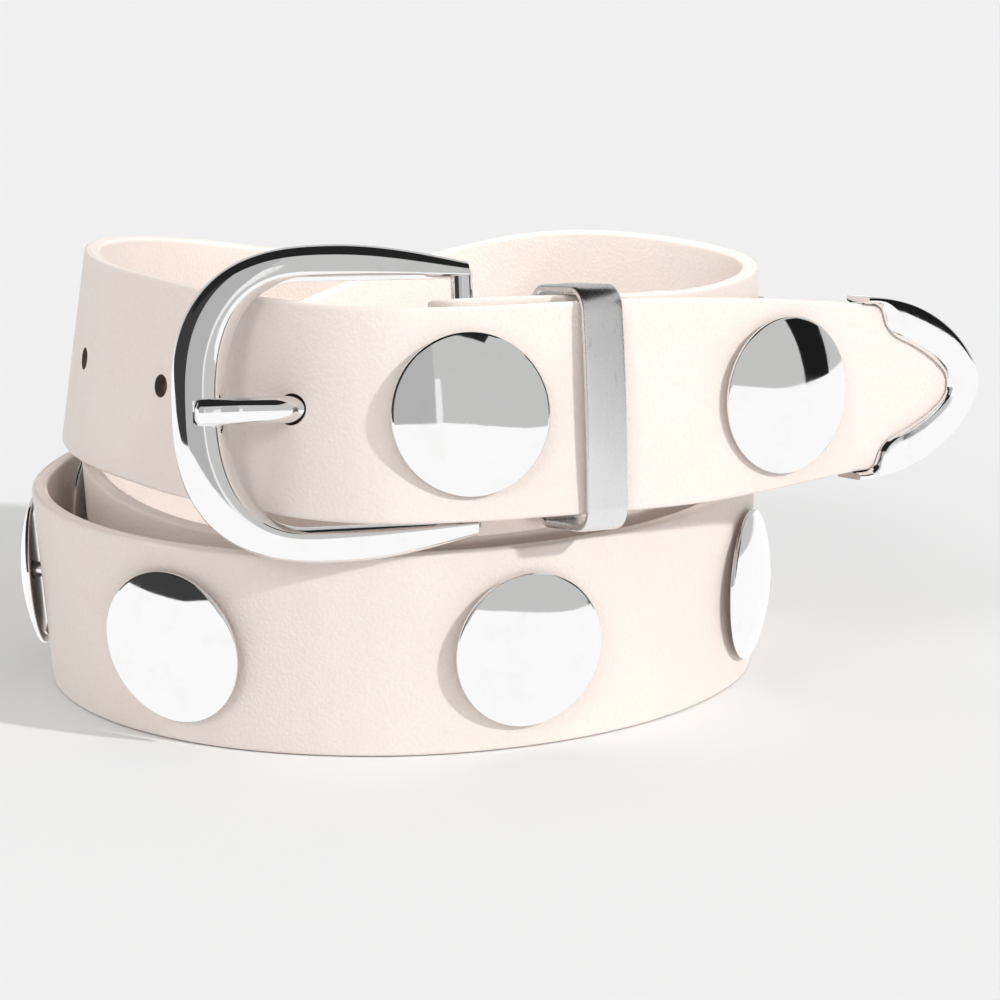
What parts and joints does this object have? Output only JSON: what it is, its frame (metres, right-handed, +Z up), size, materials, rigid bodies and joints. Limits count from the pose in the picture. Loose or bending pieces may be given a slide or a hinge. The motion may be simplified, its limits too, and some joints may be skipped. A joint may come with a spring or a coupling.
{
  "type": "studded belt",
  "caption": "Buckled leather belt coiled on its edge, with large domed metal studs, a row of holes, a curved buckle with a prong, a keeper loop and a metal point.",
  "frame": {"origin": "on the ground, under the middle of the whole coiled belt", "axes": "+X to the right along the closed front, +Y away from the buckle side, +Z up"},
  "size_m": [0.1828, 0.158, 0.0918],
  "materials": {
    "leather": "fine pebble grain, off-white, satin",
    "chrome": "mirror polished",
    "satin_metal": "brushed, with fine scratches"
  },
  "bodies": {
    "root": {"strap": "leather", "buckle_frame": "chrome", "prong": "chrome", "keeper_loop": "satin_metal", "tip": "chrome", "stud_01": "chrome", "stud_02": "chrome", "stud_03": "chrome", "stud_04": "chrome", "stud_05": "chrome", "stud_06": "chrome", "stud_07": "chrome", "stud_08": "chrome", "stud_09": "chrome", "stud_10": "chrome", "stud_11": "chrome", "stud_12": "chrome", "stud_13": "chrome", "stud_14": "chrome", "stud_15": "chrome", "stud_16": "chrome", "stud_17": "chrome"}
  },
  "joints": []
}
